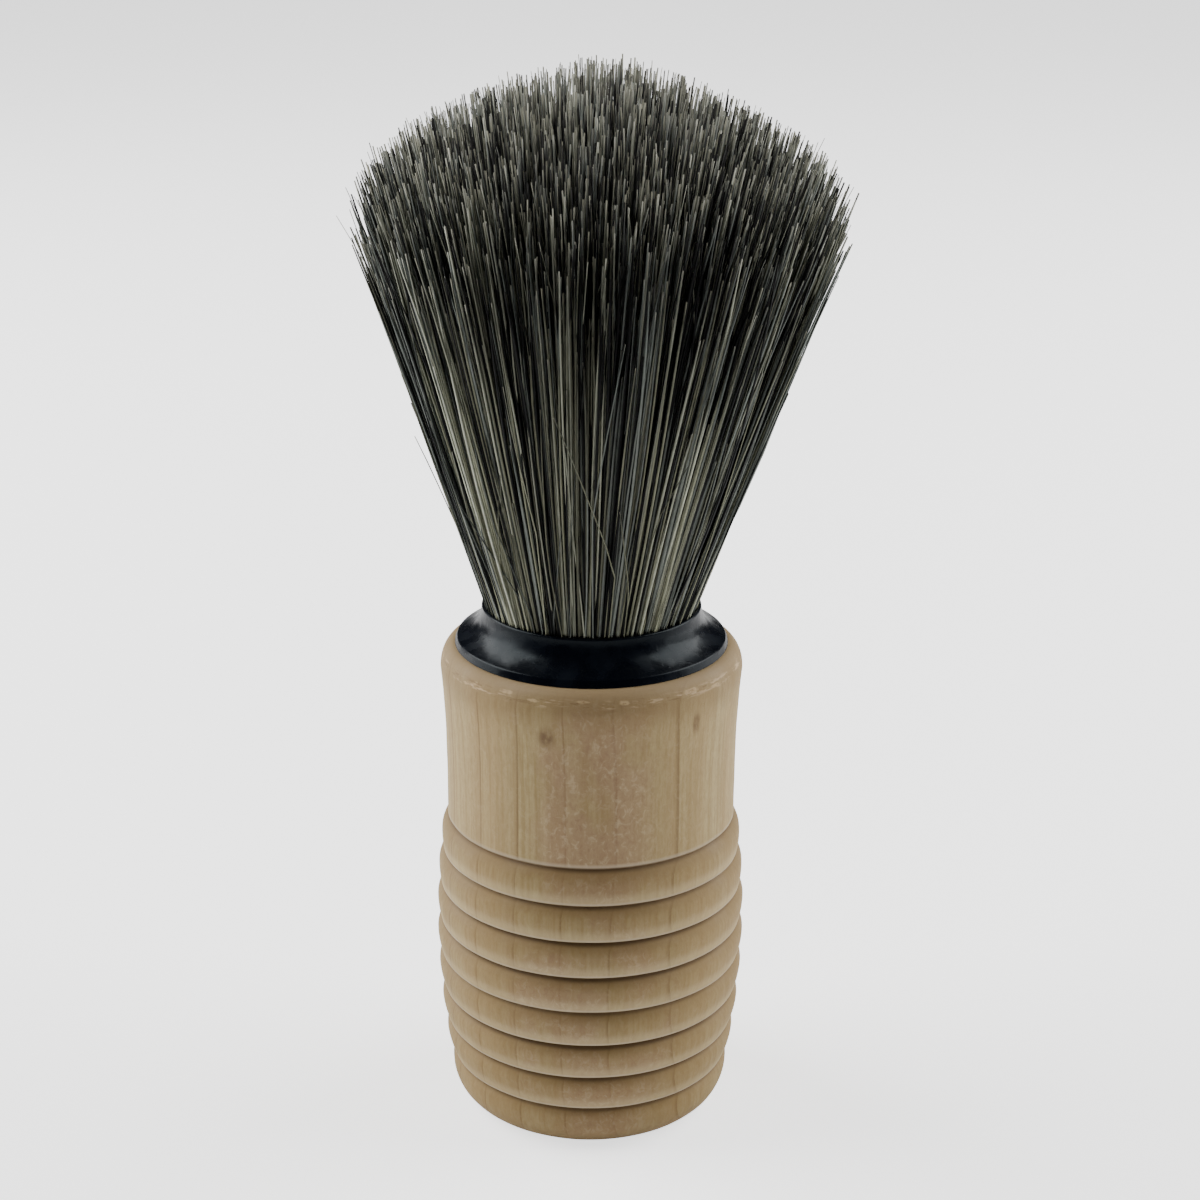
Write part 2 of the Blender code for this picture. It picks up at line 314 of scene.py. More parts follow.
def wood_material():
    """Pale turned hardwood: fine vertical grain, growth lines, ray flecks, a small knot and tool marks."""
    p = Paint("turned_wood", Specular_IOR_Level=0.35)
    pale_wood, brown_wood, dark_line = (0.435, 0.335, 0.158), (0.32, 0.228, 0.095), (0.13, 0.075, 0.028)
    warm_band, late_wood, pore_brown = (0.37, 0.25, 0.12), (0.31, 0.20, 0.09), (0.25, 0.165, 0.07)
    ray_ground, ray_pale, ray_red = (0.37, 0.235, 0.140), (0.60, 0.47, 0.29), (0.26, 0.15, 0.09)
    knot_brown, under_rim_brown, end_grain_and_shade = (0.165, 0.098, 0.045), (0.215, 0.14, 0.058), (0.285, 0.20, 0.10)
    painted_under_shade, painted_lit_band, groove_shade = (0.195, 0.12, 0.038), (0.60, 0.475, 0.27), (0.09, 0.05, 0.02)
    painted_edge_highlight, torn_wood, torn_dark = (0.66, 0.56, 0.42), (0.60, 0.43, 0.23), (0.19, 0.11, 0.045)
    worn_pale, nick_dark = (0.58, 0.42, 0.25), (0.17, 0.10, 0.04)

    streak = p.noise(p.scaled((1900, 1900, 34)), detail=3.0, roughness=0.6)
    band = p.noise(p.scaled((230, 230, 9), shift=(3.1, 0.0, 0.4)), detail=2.0)
    colour = p.mix(p.remap(streak, 0.32, 0.72), pale_wood, brown_wood)
    colour = p.mix(p.remap(band, 0.35, 0.7, to_high=0.45), colour, warm_band)

    # growth rings round a pith far to one side cross the front as upright lines
    ring_width = 4.75 * MM
    pith = p.scaled((1.0, 1.0, 0.02), shift=(0.0905, -0.03, 0.0), turn=(0.0, 0.01, 0.0))
    wander = p.noise(p.scaled((60, 60, 14)), detail=2.0)
    rings = p.maths("DIVIDE", p.length(pith), ring_width)
    phase = p.maths("FRACT", p.maths("ADD", rings, p.times(wander, 0.5)))
    line = p.times(p.remap(phase, 0.93, 0.985), p.remap(phase, 1.0, 0.992))
    colour = p.mix(p.remap(phase, 0.45, 0.98, to_high=0.32), colour, late_wood)
    colour = p.mix(p.times(line, 0.55), colour, dark_line)
    pores = p.noise(p.scaled((3300, 3300, 900)), detail=4.0, roughness=0.7)
    colour = p.mix(p.remap(pores, 0.40, 0.66, to_high=0.34), colour, pore_brown)

    # flecks show where the surface lies along the rays, at the front and the back
    facing = p.remap(p.maths("ABSOLUTE", p.coordinate(p.place, "Y")), 12.6 * MM, 14.6 * MM)
    patch = p.remap(p.noise(p.scaled((150, 90, 95), shift=(0.35, 0.0, 0.2)), detail=3.0), 0.40, 0.60)
    fleck = p.noise(p.scaled((1450, 1450, 1150)), detail=4.0, roughness=0.7, distortion=0.9)
    where = p.times(facing, patch)
    colour = p.mix(p.times(where, 0.55), colour, ray_ground)
    pale = p.times(p.remap(fleck, 0.50, 0.66), p.maths("MULTIPLY_ADD", where, 0.34, 0.10))
    colour = p.mix(pale, colour, ray_pale)
    red = p.times(p.remap(fleck, 0.48, 0.32), p.maths("MULTIPLY_ADD", where, 0.42, 0.10))
    colour = p.mix(red, colour, ray_red)

    # small marks in the wood: a pin knot, a dark slash beside it, and one more at the back
    ragged = p.noise(p.scaled((1500, 1500, 900)), detail=3.0)
    # each mark is its centre, its half sizes and its weight
    marks = (
        ((-4.3 * MM, -14.3 * MM, 46.0 * MM), (1.2 * MM, 2.0 * MM, 1.6 * MM), 1.0),
        ((10.3 * MM, -11.1 * MM, 46.3 * MM), (0.65 * MM, 2.0 * MM, 1.7 * MM), 0.85),
        ((5.5 * MM, 14.0 * MM, 40.5 * MM), (0.8 * MM, 2.0 * MM, 1.5 * MM), 0.65),
    )
    for centre, size, weight in marks:
        seen = p.times(p.spot(centre, size), p.remap(ragged, 0.25, 0.6, 0.35, weight))
        colour = p.mix(seen, colour, knot_brown)

    # the wood is browner just below the rim
    height_z = p.coordinate(p.place, "Z")
    colour = p.mix(p.remap(height_z, 45.5 * MM, 49.3 * MM, to_high=0.6), colour, under_rim_brown)

    # faces turned up or down are painted browner: end grain at the rim and the base drinks the finish, and on
    # the sloping faces of the rings and rim it is painted shade
    normal = p.node("ShaderNodeNewGeometry").outputs["Normal"]
    upright = p.maths("ABSOLUTE", p.coordinate(normal, "Z"))
    colour = p.mix(p.remap(upright, 0.12, 0.85, to_high=0.8), colour, end_grain_and_shade)

    # painted shade darkens each ring below its groove and the groove's bottom, the lower part of each ring is
    # painted paler as if lit, and painted highlights line the sharp edges
    under = p.attribute("under")
    chip = p.attribute("chip")
    # painted shade under each groove's overhang, fading down the ring
    colour = p.mix(p.times(under, 0.70), colour, painted_under_shade)
    # painted light: the lower part of each ring is painted paler, as if lit from below
    crest = p.times(p.remap(under, 0.42, 0.12, to_high=0.38), p.remap(under, 0.0, 0.04))
    colour = p.mix(crest, colour, painted_lit_band)
    # painted shade in the bottom of each groove
    colour = p.mix(p.remap(p.attribute("groove"), 0.45, 1.0, to_high=0.8), colour, groove_shade)
    # painted highlight along each ring's sharp lower edge
    colour = p.mix(p.times(p.attribute("edge"), 0.5), colour, painted_edge_highlight)
    colour = p.mix(p.remap(p.times(chip, ragged), 0.15, 0.42, to_high=0.55), colour, torn_wood)
    colour = p.mix(p.remap(p.times(chip, fleck), 0.40, 0.52, to_high=0.6), colour, torn_dark)

    # the crest of the rim is worn: a broken pale line with small dark nicks
    at_crest = p.times(p.remap(height_z, 49.0 * MM, 49.5 * MM), p.remap(height_z, 50.2 * MM, 49.8 * MM))
    wear = p.noise(p.scaled((420, 420, 2600), shift=(0.2, 0.0, 0.6)), detail=4.0, roughness=0.65)
    colour = p.mix(p.times(at_crest, p.remap(wear, 0.53, 0.64, to_high=0.55)), colour, worn_pale)
    colour = p.mix(p.times(at_crest, p.remap(wear, 0.43, 0.34, to_high=0.6)), colour, nick_dark)
    p.set("Base Color", colour)

    p.set("Roughness", p.remap(band, 0.3, 0.7, 0.60, 0.75))
    turning = p.noise(p.scaled((9, 9, 3600)), detail=1.0)
    height = p.maths("MULTIPLY_ADD", turning, 0.5, p.times(streak, 0.5))
    rough = p.bump(p.maths("MULTIPLY_ADD", pores, 0.6, fleck), 0.04 * MM, strength=0.8)
    p.set("Normal", p.bump(height, 0.05 * MM, strength=0.7, under=rough))
    return p.material


def collar_material():
    """Moulded blue-black plastic: glossy, slightly wavy, with faint scuffs."""
    p = Paint("moulded_plastic", Specular_IOR_Level=0.12, Specular_Tint=(0.80, 0.93, 0.96, 1.0))
    black, scuffed = (0.0015, 0.0022, 0.0045), (0.004, 0.0055, 0.009)
    smear = p.noise(p.scaled((420, 420, 420)), detail=4.0)
    p.set("Base Color", p.mix(p.remap(smear, 0.35, 0.75), black, scuffed))
    p.set("Roughness", p.remap(smear, 0.3, 0.75, 0.20, 0.34))
    wave = p.noise(p.scaled((260, 260, 520), shift=(1.7, 0.3, 0.9)), detail=2.0)
    speck = p.noise(p.scaled((2600, 2600, 2600)), detail=1.0)
    fine = p.bump(p.remap(speck, 0.62, 0.75), 0.02 * MM, strength=0.3)
    p.set("Normal", p.bump(wave, 0.16 * MM, strength=0.6, under=fine))
    return p.material


def hair_material(name, root, band, tip, gloss):
    """Hair of one tone: its colour at the root, above it and at its dry tip, and no two hairs quite alike."""
    p = Paint(name, Specular_IOR_Level=gloss)
    across_strip, along_strip = TINTS * 2.0, 26.0
    band_start, tip_start = 0.48, 0.96
    along = p.attribute("along")
    tint = p.attribute("tint")
    strip = p.node("ShaderNodeUVMap", uv_map=HAIR_MAP).outputs[0]
    scale = (across_strip, along_strip, 1.0)
    stretched = p.node("ShaderNodeVectorMath", {0: strip, 1: scale}, operation="MULTIPLY")
    grain = p.noise(stretched.outputs[0], detail=2.0)
    colour = p.mix(p.remap(along, band_start, 1.0), root, band)
    colour = p.mix(p.remap(along, tip_start, 1.0), colour, tip)
    shade = p.maths("MULTIPLY_ADD", tint, 0.9, 0.55)
    shade = p.times(shade, p.remap(grain, 0.3, 0.7, 0.85, 1.12))
    grey = p.node("ShaderNodeCombineColor", {0: shade, 1: shade, 2: shade}).outputs[0]
    p.set("Base Color", p.mix(1.0, colour, grey, blend="MULTIPLY"))
    p.set("Roughness", p.remap(along, 0.3, 1.0, 0.42, 0.6))
    return p.material


def thread_material():
    """Waxed thread: twisted strands, one darker than the other."""
    p = Paint("waxed_thread", Sheen_Weight=0.2)
    pale_strand, dark_strand = (0.58, 0.49, 0.34), (0.40, 0.32, 0.20)
    twist = p.noise(p.scaled((2600, 2600, 5200)), detail=2.0)
    p.set("Base Color", p.mix(p.remap(twist, 0.35, 0.65), pale_strand, dark_strand))
    p.set("Roughness", p.remap(twist, 0.3, 0.7, 0.6, 0.85))
    p.set("Normal", p.bump(twist, 0.05 * MM))
    return p.material


def resin_material():
    """Set amber resin with cloudy streaks and a few bubbles."""
    p = Paint("set_resin", Specular_IOR_Level=0.5)
    amber, deep_amber = (0.44, 0.25, 0.07), (0.28, 0.14, 0.035)
    cloud = p.noise(p.scaled((330, 330, 330)), detail=4.0)
    bubble = p.noise(p.scaled((2100, 2100, 2100)), detail=0.0)
    p.set("Base Color", p.mix(p.remap(cloud, 0.35, 0.7), amber, deep_amber))
    p.set("Roughness", p.remap(cloud, 0.3, 0.7, 0.1, 0.3))
    p.set("Normal", p.bump(p.remap(bubble, 0.66, 0.74), 0.06 * MM))
    return p.material


def glue_material():
    """White wood glue, dried uneven and slightly yellow."""
    p = Paint("dried_glue", Specular_IOR_Level=0.4)
    off_white, yellowed = (0.74, 0.71, 0.62), (0.60, 0.54, 0.40)
    lump = p.noise(p.scaled((520, 520, 520)), detail=3.0)
    p.set("Base Color", p.mix(p.remap(lump, 0.35, 0.7), off_white, yellowed))
    p.set("Roughness", p.remap(lump, 0.3, 0.7, 0.35, 0.55))
    p.set("Normal", p.bump(lump, 0.15 * MM))
    return p.material


# ---------------------------------------------------------------- turned pieces


def turned(name, outline, steps, material, wobble=None):
    """A closed surface turned from an outline that starts and ends on the axis, its points in rings."""
    angles = np.linspace(0.0, math.tau, steps, endpoint=False)
    points, rings = [], []
    for radius, height in outline:
        if radius == 0.0:
            rings.append([len(points)])
            points.append((0.0, 0.0, height))
            continue
        rings.append(list(range(len(points), len(points) + steps)))
        radii = np.full(steps, radius) if wobble is None else radius + wobble(radius, height, angles)
        points += list(zip(radii * np.cos(angles), radii * np.sin(angles), np.full(steps, height)))
    faces = []
    for upper, lower in zip(rings[:-1], rings[1:]):
        for i in range(steps):
            j = (i + 1) % steps
            if len(upper) == 1:
                faces.append((upper[0], lower[i], lower[j]))
            elif len(lower) == 1:
                faces.append((upper[i], lower[0], upper[j]))
            else:
                faces.append((upper[i], lower[i], lower[j], upper[j]))
    mesh = bpy.data.meshes.new(name)
    mesh.from_pydata(points, [], faces)
    mesh.shade_smooth()
    mesh.set_sharp_from_angle(angle=SHARP_ANGLE)
    mesh.materials.append(material)
    piece = bpy.data.objects.new(name, mesh)
    bpy.context.scene.collection.objects.link(piece)
    return piece


def arc(centre, radii, start, end, count):
    """Points on an ellipse about centre, from angle start to angle end in degrees."""
    points = []
    for i in range(count + 1):
        angle = math.radians(start + (end - start) * i / count)
        points.append((centre[0] + radii[0] * math.cos(angle), centre[1] + radii[1] * math.sin(angle)))
    return points


def belly(height):
    """Radius of the shallow arc that the crests of the rings lie on."""
    return BELLY_RADIUS - (height - BELLY_Z) ** 2 / (2 * BELLY_ARC_RADIUS)


def ring_outline():
    """The turned rings from the top groove down, each groove a little different, as hand tools leave them."""
    draws = np.random.default_rng(SEED)
    points = []
    shoulder_count, skirt_count = 9, 7
    corner_rise, corner_depth, step_drop = 0.06 * MM, 0.96, 0.05 * MM
    for number in range(RING_COUNT):
        depth = GROOVE_DEPTH * (1.0 + draws.uniform(-GROOVE_DEPTH_SPREAD, GROOVE_DEPTH_SPREAD))
        groove_z = GROOVE_TOP_Z - number * GROOVE_PITCH
        groove_z += draws.uniform(-GROOVE_PLACE_SPREAD, GROOVE_PLACE_SPREAD)
        crest_z = groove_z - RING_CREST_DROP
        points.append((belly(groove_z) - depth * corner_depth, groove_z + corner_rise))
        for i in range(shoulder_count):
            t = i / shoulder_count
            z = groove_z - RING_CREST_DROP * t
            points.append((belly(z) - depth * (1.0 - t) ** 2, z))
        points.append((belly(crest_z), crest_z))
        if number == RING_COUNT - 1:
            break
        edge_z = GROOVE_TOP_Z - (number + 1) * GROOVE_PITCH + RING_EDGE_RISE
        for i in range(1, skirt_count + 1):
            t = i / skirt_count
            z = crest_z + (edge_z - crest_z) * t
            points.append((belly(z) - RING_EDGE_INSET * t * t, z))
        points.append((belly(edge_z) - RING_EDGE_INSET - EDGE_STEP, edge_z - step_drop))
    return points


def waist_outline():
    """The hollow waist from the rim down to the edge over the top groove."""
    count = 40
    step_drop = 0.06 * MM
    edge_z = GROOVE_TOP_Z + RING_EDGE_RISE
    points = []
    for i in range(1, count + 1):
        height = RIM_Z + (edge_z - RIM_Z) * i / count
        flare = max(0.0, (height - WAIST_Z) / (RIM_Z - WAIST_Z)) ** RIM_FLARE_POWER
        points.append((WAIST_RADIUS + (RIM_RADIUS - WAIST_RADIUS) * flare, height))
    points.append((WAIST_RADIUS - EDGE_STEP, edge_z - step_drop))
    return points


def handle_wobble(radius, height, angles):
    """How far hand turning and sanding leave the outside from round, in metres. The bore stays round."""
    if radius < SEAT_RADIUS and height >= BORE_FLOOR_Z:
        return np.zeros_like(angles)
    # each wave is its size in millimetres, its count round the handle, its phase and its turn per metre up
    waves = ((0.030, 2, 0.7, 40), (0.018, 3, -1.9, -70), (0.008, 11, 0.0, 900), (0.006, 17, 0.0, -1500))
    offset = 0.0
    for size, count, phase, turn in waves:
        offset = offset + size * np.sin(count * angles + phase + turn * height)
    return offset * MM


def set_number(mesh, name, values):
    """Keep one number for each point of the mesh."""
    layer = mesh.attributes.new(name, "FLOAT", "POINT")
    layer.data.foreach_set("value", np.asarray(values, np.float32))


def points_of(mesh):
    """The mesh's points as an array."""
    found = np.empty(len(mesh.vertices) * 3, np.float32)
    mesh.vertices.foreach_get("co", found)
    return found.reshape(-1, 3).astype(float)


def chip_rim(mesh):
    """Small torn chips round the rim of the seat. Returns how deep each point lies in a chip, from 0 to 1."""
    draws = np.random.default_rng(SEED + 1)
    place = points_of(mesh)
    radius = np.hypot(place[:, 0], place[:, 1])
    angle = np.arctan2(place[:, 0], -place[:, 1])
    depth = np.zeros(len(place))
    # each chip is (degrees round from the front, height in millimetres)
    front = [(-33.5, 50.0), (-3.0, 49.9), (40.5, 49.8), (53.5, 49.4), (-22.0, 49.7)]
    around = [(draws.uniform(0, 360), draws.uniform(49.3, 50.1)) for _ in range(CHIP_COUNT)]
    for degrees, height in front + around:
        wide = draws.uniform(0.5, 1.5) * MM
        tall = draws.uniform(0.18, 0.34) * MM
        across = (angle - math.radians(degrees) + math.pi) % math.tau - math.pi
        across = across * RIM_RADIUS / wide
        down = (place[:, 2] - height * MM) / tall
        depth = np.maximum(depth, np.clip(1.0 - across**2 - down**2, 0.0, 1.0))
    outside = radius > SEAT_RADIUS - 0.1 * MM
    depth *= outside
    shrink = 1.0 - CHIP_DEPTH * depth / np.maximum(radius, MM)
    place[:, 0] *= shrink
    place[:, 1] *= shrink
    mesh.vertices.foreach_set("co", place.astype(np.float32).ravel())
    return depth


def groove_numbers(mesh, last_z):
    """Numbers from 0 to 1 for each point: how deep in a groove (painted shade), how near an edge (painted
    highlight), and how dark the painted shade under one is.

    last_z is the height of the lowest ring's crest, where the rounded base starts.
    """
    place = points_of(mesh)
    radius, height = np.hypot(place[:, 0], place[:, 1]), place[:, 2]
    edge_top_z = GROOVE_TOP_Z + RING_EDGE_RISE
    grooved = (height < GROOVE_TOP_Z + 2 * RING_EDGE_RISE) & (height > last_z) & (radius > SEAT_RADIUS)
    inset = np.where(grooved, (belly(height) - radius) / GROOVE_DEPTH, 0.0)
    over_groove = (edge_top_z - height) / GROOVE_PITCH
    near_edge = np.abs(over_groove - np.round(over_groove)) * GROOVE_PITCH
    on_edge = grooved & (np.round(over_groove) < RING_COUNT)
    edge = np.where(on_edge, np.clip(1.0 - near_edge / EDGE_HIGHLIGHT_REACH, 0.0, 1.0), 0.0)
    below = (GROOVE_TOP_Z - height) % GROOVE_PITCH / GROOVE_PITCH
    # under is painted shade: darkest just below each groove, where the ring above overhangs
    under = np.where(grooved & (height < GROOVE_TOP_Z), (1.0 - below) ** UNDER_POWER, 0.0)
    at_crest = (1.0 - (GROOVE_TOP_Z - last_z) % GROOVE_PITCH / GROOVE_PITCH) ** UNDER_POWER
    fade = np.clip(1.0 - (last_z - height) / BASE_UNDER_REACH, 0.0, 1.0)
    under = np.where(height > last_z, under, BASE_UNDER + (at_crest - BASE_UNDER) * fade)
    return {"under": under, "groove": np.clip(inset, 0.0, 1.0), "edge": edge}


def build_handle():
    """The handle: seat with a blind bore, rounded rim, hollow waist, turned rings and rounded base."""
    rim = arc((SEAT_RADIUS, RIM_Z), (RIM_RADIUS - SEAT_RADIUS, WOOD_TOP_Z - RIM_Z), 90, 0, count=14)
    rings = ring_outline()
    last_radius, last_z = rings[-1]
    base = arc((BASE_RADIUS, last_z), (last_radius - BASE_RADIUS, last_z), 0, -90, count=18)[1:]
    bore = [(0.0, BORE_FLOOR_Z), (BORE_RADIUS, BORE_FLOOR_Z), (BORE_RADIUS, WOOD_TOP_Z)]
    outline = bore + rim + waist_outline() + rings + base + [(0.0, 0.0)]
    handle = turned("turned_handle", outline, HANDLE_STEPS, wood_material(), handle_wobble)
    chips = chip_rim(handle.data)
    for name, values in groove_numbers(handle.data, last_z).items():
        set_number(handle.data, name, values)
    set_number(handle.data, "chip", chips)
    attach(handle, "handle_set")
    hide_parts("handle")


def build_collar():
    """The moulded collar: socket, thin lip, smooth concave flare and a thin edge that rests on the wood."""
    lip_radius, edge_radius = 0.2 * MM, 0.22 * MM
    lip_inside, lip_chamfer = 0.1 * MM, 0.15 * MM
    foot_inset, foot_rise = 0.02 * MM, 0.12 * MM
    lip = arc((MOUTH_RADIUS - lip_radius, MOUTH_Z - lip_radius), (lip_radius, lip_radius), 90, 0, count=5)
    edge_centre = (SKIRT_RADIUS - SKIRT_BAND_LEAN - edge_radius, SKIRT_Z + SKIRT_BAND - edge_radius)
    edge = arc(edge_centre, (edge_radius, edge_radius), 68, 14, count=6)

    # the flare is one Bezier curve: it leaves the lip upright, and runs out nearly level to the edge
    top, foot = (MOUTH_RADIUS, MOUTH_Z - 0.3 * MM), edge[0]
    upright = (top[0] + 0.1 * MM, top[1] - FLARE_LEAD)
    level = (foot[0] - FLARE_LEAD * 0.9, foot[1] + FLARE_LEAD * 0.4)
    corners = (top, upright, level, foot)
    count = 26
    flare = []
    for i in range(count):
        t = i / count
        weights = ((1 - t) ** 3, 3 * t * (1 - t) ** 2, 3 * t * t * (1 - t), t**3)
        flare.append(tuple(sum(w * corner[k] for w, corner in zip(weights, corners)) for k in (0, 1)))

    outline = [(0.0, SOCKET_Z + SOCKET_FLOOR), (SOCKET_INSIDE, SOCKET_Z + SOCKET_FLOOR)]
    outline += [(SOCKET_INSIDE, MOUTH_Z - lip_chamfer), (SOCKET_INSIDE + lip_inside, MOUTH_Z)]
    outline += lip + flare + edge
    outline += [(SKIRT_RADIUS - foot_inset, SKIRT_Z + foot_rise), (SKIRT_RADIUS, SKIRT_Z)]
    outline += [(BORE_RADIUS - GAP, SKIRT_Z), (BORE_RADIUS - GAP, SOCKET_Z), (0.0, SOCKET_Z)]
    collar = turned("moulded_collar", outline, COLLAR_STEPS, collar_material())
    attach(collar, "handle_set")
    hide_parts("collar")


# ---------------------------------------------------------------- hair


def dome(radius, angle):
    """Height of the rounded top that the tips make, a little higher on the left."""
    crown_power, shoulder_power = 1.114, 0.545
    share = np.clip(radius / FAN_RADIUS, 0.0, 1.0)
    rounded = (1.0 - share**crown_power) ** shoulder_power
    return TIP_SHOULDER_Z + (PEAK_Z - TIP_SHOULDER_Z) * rounded - DOME_SLOPE * share * np.cos(angle)


def dome_reach(mouth, angle, spread):
    """Height at which a straight hair from the mouth meets the dome or the fan's outer radius, by halving."""
    halvings = 24
    low, high = np.full(len(mouth), MOUTH_Z), np.full(len(mouth), PEAK_Z)
    for _ in range(halvings):
        middle = (low + high) / 2
        radius = mouth * (1.0 + spread * (middle - MOUTH_Z))
        inside = (radius < FAN_RADIUS) & (middle < dome(radius, angle))
        low, high = np.where(inside, middle, low), np.where(inside, high, middle)
    return low


def hair_paths(share, angle, shorten, strays, lock):
    """Centre lines of hairs as (hair, point, xyz), from the root through the mouth to the tip.

    shorten is how far each tip stops below the dome. strays is a list of sideways offsets and of how each
    grows from the mouth to the tip. lock numbers the lock that each hair is in: its tips draw together.
    """
    mouth = share * FAN_START_RADIUS
    spread = (FAN_RADIUS / FAN_START_RADIUS - 1.0) / (FAN_Z - MOUTH_Z)
    tip_z = dome_reach(mouth, angle, spread) - shorten
    rise = np.linspace(0.0, 1.0, FAN_POINTS)
    z = MOUTH_Z + (tip_z - MOUTH_Z)[:, None] * rise
    radius = mouth[:, None] * (1.0 + spread * (z - MOUTH_Z))
    way = np.stack([np.cos(angle), np.sin(angle)], axis=1)
    xy = radius[:, :, None] * way[:, None, :]

    # each hair is drawn towards the middle of its lock, in step with how far the fan spreads it from the axis
    least_share = 0.2
    place = share[:, None] * way
    sums = [np.bincount(lock, place[:, k]) for k in (0, 1)]
    together = np.stack([total / np.bincount(lock) for total in sums], axis=1)[lock]
    pull = LOCK_PULL * (together - place) * (radius[:, -1] / np.maximum(share, least_share))[:, None]
    xy += pull[:, None, :] * (rise**3)[None, :, None]

    length = ((tip_z - MOUTH_Z) / (FAN_Z - MOUTH_Z))[:, None, None]
    for offset, growth in strays:
        xy += offset[:, None, :] * growth(rise)[..., None] * length
    xy[:, :, 0] += KNOT_LEAN * (z - MOUTH_Z) / (FAN_Z - MOUTH_Z)
    root = np.zeros((len(share), 3))
    root[:, :2] = mouth[:, None] * way * BOUND_RADIUS / FAN_START_RADIUS
    root[:, 2] = ROOT_Z + GAP
    return np.concatenate([root[:, None], np.concatenate([xy, z[:, :, None]], axis=2)], axis=1)


def tubes(name, paths, thickness, material, draws):
    """One mesh of closed thin tubes along the paths, tapering to fine tips."""
    count, length, _ = paths.shape
    sides = HAIR_SIDES
    root_rise, slimming, tip_slimming = -0.2, 0.25, 0.20
    ways = paths[:, -1] - paths[:, 1]
    ways /= np.linalg.norm(ways, axis=1)[:, None]
    first = np.cross(ways, (0.0, 1.0, 0.0))
    first /= np.linalg.norm(first, axis=1)[:, None]
    second = np.cross(ways, first)
    rise = np.concatenate([[root_rise], np.linspace(0.0, 1.0, length - 1)])
    along = np.clip(rise, 0.0, 1.0)
    taper = 1.0 - slimming * along**2 - tip_slimming * (along == 1.0)
    spin = draws.uniform(0.0, math.tau, count)
    points = np.empty((count, length, sides, 3))
    for k in range(sides):
        turn = spin + math.tau * k / sides
        way = np.cos(turn)[:, None] * first + np.sin(turn)[:, None] * second
        points[:, :, k] = paths + way[:, None] * (thickness[:, None] * taper[None] / 2)[:, :, None]
    index = np.arange(count * length * sides).reshape(count, length, sides)
    around = np.roll(index, -1, axis=2)
    walls = np.stack([index[:, :-1], around[:, :-1], around[:, 1:], index[:, 1:]], axis=-1).reshape(-1, 4)
    tips, roots = index[:, -1], index[:, 0, ::-1]
    corners = np.concatenate([walls.ravel(), tips.ravel(), roots.ravel()])
    sizes = np.concatenate([np.full(len(walls), 4), np.full(2 * count, sides)])
    mesh = bpy.data.meshes.new(name)
    mesh.vertices.add(count * length * sides)
    mesh.vertices.foreach_set("co", points.astype(np.float32).ravel())
    mesh.loops.add(len(corners))
    mesh.loops.foreach_set("vertex_index", corners.astype(np.int32))
    mesh.polygons.add(len(sizes))
    mesh.polygons.foreach_set("loop_start", (np.cumsum(sizes) - sizes).astype(np.int32))
    mesh.update(calc_edges=True)
    mesh.shade_smooth()
    tint = draws.integers(0, TINTS, count)
    set_number(mesh, "along", np.repeat(np.tile(along, count), sides))
    set_number(mesh, "tint", np.repeat((tint + 0.5) / TINTS, length * sides))
    map_strips(mesh, tint, count, length)
    mesh.materials.append(material)
    piece = bpy.data.objects.new(name, mesh)
    bpy.context.scene.collection.objects.link(piece)
    return piece


def map_strips(mesh, tint, count, length):
    """Map every hair of one tint onto the same upright strip, root at the bottom, its sides side by side.

    The three-cornered ends of a hair are small triangles at the bottom and the top of the strip.
    """
    sides = HAIR_SIDES
    margin, end_height = 0.15, 0.01
    across = np.array([[0, 1, 1, 0]]) + np.arange(sides)[:, None]
    across = margin + (1 - 2 * margin) * across / sides
    up = np.array([[0, 0, 1, 1]]) + np.arange(length - 1)[:, None]
    wall_u = np.broadcast_to(across[None, None], (count, length - 1, sides, 4)) + tint[:, None, None, None]
    wall_v = np.broadcast_to((up / (length - 1))[None, :, None], (count, length - 1, sides, 4))
    cap_u = np.repeat(tint, sides) + np.tile([0.3, 0.5, 0.7], count)
    cap_v = np.tile([0.0, end_height, 0.0], count)
    u = np.concatenate([wall_u.ravel(), cap_u, cap_u]) / TINTS
    v = np.concatenate([wall_v.ravel(), 1.0 - end_height + cap_v, cap_v])
    layer = mesh.uv_layers.new(name=HAIR_MAP)
    layer.data.foreach_set("uv", np.stack([u, v], axis=1).astype(np.float32).ravel())


def plant_hairs(draws):
    """Share, angle and shortening of every hair: the whole ones first, then fine, short and stray ones."""
    golden_angle, angle_spread = math.pi * (3.0 - math.sqrt(5.0)), 0.012
    outer_layer, stray_layer = 0.06, (0.99, 1.02)
    whole_drop, whole_power = 9 * MM, 1.7
    fine_drop, short_drop = (0.0, 6 * MM), (4 * MM, 27 * MM)
    whole = np.sqrt((np.arange(WHOLE_HAIRS) + 0.5) / WHOLE_HAIRS)
    fine = FINE_REACH * np.sqrt(draws.random(FINE_HAIRS))
    short = 1.0 - np.abs(draws.normal(0.0, outer_layer, SHORT_HAIRS))
    stray = draws.uniform(*stray_layer, STRAY_HAIRS)
    share = np.concatenate([whole, fine, short, stray])
    angle = np.arange(ALL_HAIRS) * golden_angle + draws.normal(0.0, angle_spread, ALL_HAIRS)
    uneven = whole_drop * draws.random(WHOLE_HAIRS) ** whole_power
    softer = draws.uniform(*fine_drop, FINE_HAIRS)
    shorter = draws.uniform(*short_drop, SHORT_HAIRS + STRAY_HAIRS)
    return share, angle % math.tau, np.concatenate([uneven, softer, shorter])


def lock_numbers(share, angle):
    """Which lock each hair is in. A lock is a patch of one layer of the bundle, all about the same size."""
    layers_apart = 1000
    layer = np.round(share * LOCK_LAYERS)
    patch = np.round(angle / math.tau * LOCKS_ROUND * layer / LOCK_LAYERS + LOCK_TWIST * layer)
    return np.unique(patch + layers_apart * layer, return_inverse=True)[1]


